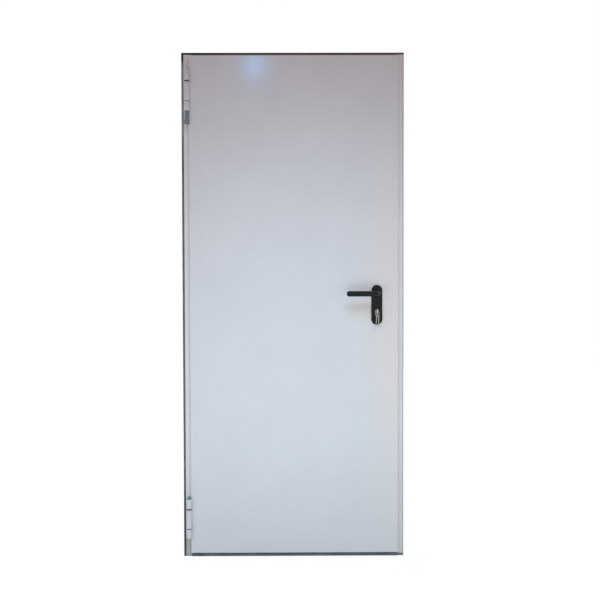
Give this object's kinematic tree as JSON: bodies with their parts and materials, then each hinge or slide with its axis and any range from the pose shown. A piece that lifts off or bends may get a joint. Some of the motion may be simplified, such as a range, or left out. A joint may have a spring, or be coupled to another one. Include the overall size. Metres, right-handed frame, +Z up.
{
  "type": "steel fire door",
  "caption": "Single-leaf steel fire door closed in its folded frame, with a sprung three-knuckle hinge pair, lever handle, profile cylinder and keys.",
  "frame": {"origin": "floor level, midway across the frame, on the underside of the threshold, 4 mm behind its front edge and level with the front of the frame's face", "axes": "+Z up the jambs, +X to the lock side's right as seen from the side the leaf opens to, +Y into the wall"},
  "size_m": [0.9, 0.205, 2.05],
  "materials": {
    "frame_paint": "semi-gloss light grey paint",
    "leaf_paint": "semi-gloss light grey paint",
    "hinge_paint": "semi-gloss light grey paint over steel",
    "hinge_cap": "dark grey",
    "threshold_dark": "matt dark",
    "joint_black": "matt black joint strip",
    "seal_rubber": "matt black rubber",
    "mineral_core": "pressed mineral wool",
    "zinc_steel": "zinc plated",
    "bright_steel": "brushed steel",
    "spring_steel": "dark bare steel",
    "bearing_dark": "dark bearing ring",
    "nickel": "nickel plated brass",
    "black_plastic": "satin black plastic"
  },
  "bodies": {
    "frame": {"hinge_jamb": "frame_paint", "lock_jamb": "frame_paint", "frame_head": "frame_paint", "threshold": "threshold_dark", "joint_strip": "joint_black", "frame_seal": "seal_rubber", "keeper_box": "zinc_steel", "upper_hinge_frame_knuckles": "hinge_paint", "upper_hinge_pin": "spring_steel", "lower_hinge_frame_knuckles": "hinge_paint", "lower_hinge_pin": "spring_steel", "hinge_bearings": "bearing_dark", "hinge_caps": "hinge_cap", "spring_sleeve": "spring_steel", "spring_collar": "spring_steel"},
    "leaf": {"leaf_front_skin": "leaf_paint", "leaf_back_skin": "leaf_paint", "leaf_core": "mineral_core", "bottom_seal": "seal_rubber", "lock_case": "zinc_steel", "forend": "bright_steel", "latch_bolt": "bright_steel", "dead_bolt": "bright_steel", "profile_cylinder": "nickel", "front_handle_plate": "black_plastic", "back_handle_plate": "black_plastic", "upper_hinge_leaf_knuckle": "hinge_paint", "lower_hinge_leaf_knuckle": "hinge_paint"},
    "lever_set": {"front_lever": "black_plastic", "back_lever": "black_plastic", "lever_spindle": "zinc_steel"},
    "door_key": {"door_key": "nickel", "lock_plug": "nickel"},
    "spare_keys": {"key_ring": "nickel", "spare_keys": "nickel"}
  },
  "joints": [
    {"name": "leaf_hinge", "type": "hinge", "parent": "frame", "child": "leaf", "pos_m": [-0.4245, -0.0365, 1], "axis": [0, 0, -1], "range_deg": [0, 170], "stiffness_Nm_per_rad": 6, "springref_deg": -34.38},
    {"name": "lever_turn", "type": "hinge", "parent": "leaf", "child": "lever_set", "pos_m": [0.338, 0.006, 1.077], "axis": [0, -1, 0], "range_deg": [0, 40], "stiffness_Nm_per_rad": 1.5, "springref_deg": -28.65},
    {"name": "key_turn", "type": "hinge", "parent": "leaf", "child": "door_key", "pos_m": [0.338, -0.03, 1.005], "axis": [0, 1, 0], "range_deg": [-90, 90]},
    {"name": "spare_key_swing", "type": "hinge", "parent": "door_key", "child": "spare_keys", "pos_m": [0.338, -0.0565, 1.00355], "axis": [0, 1, 0], "range_deg": [-18, 18]}
  ]
}
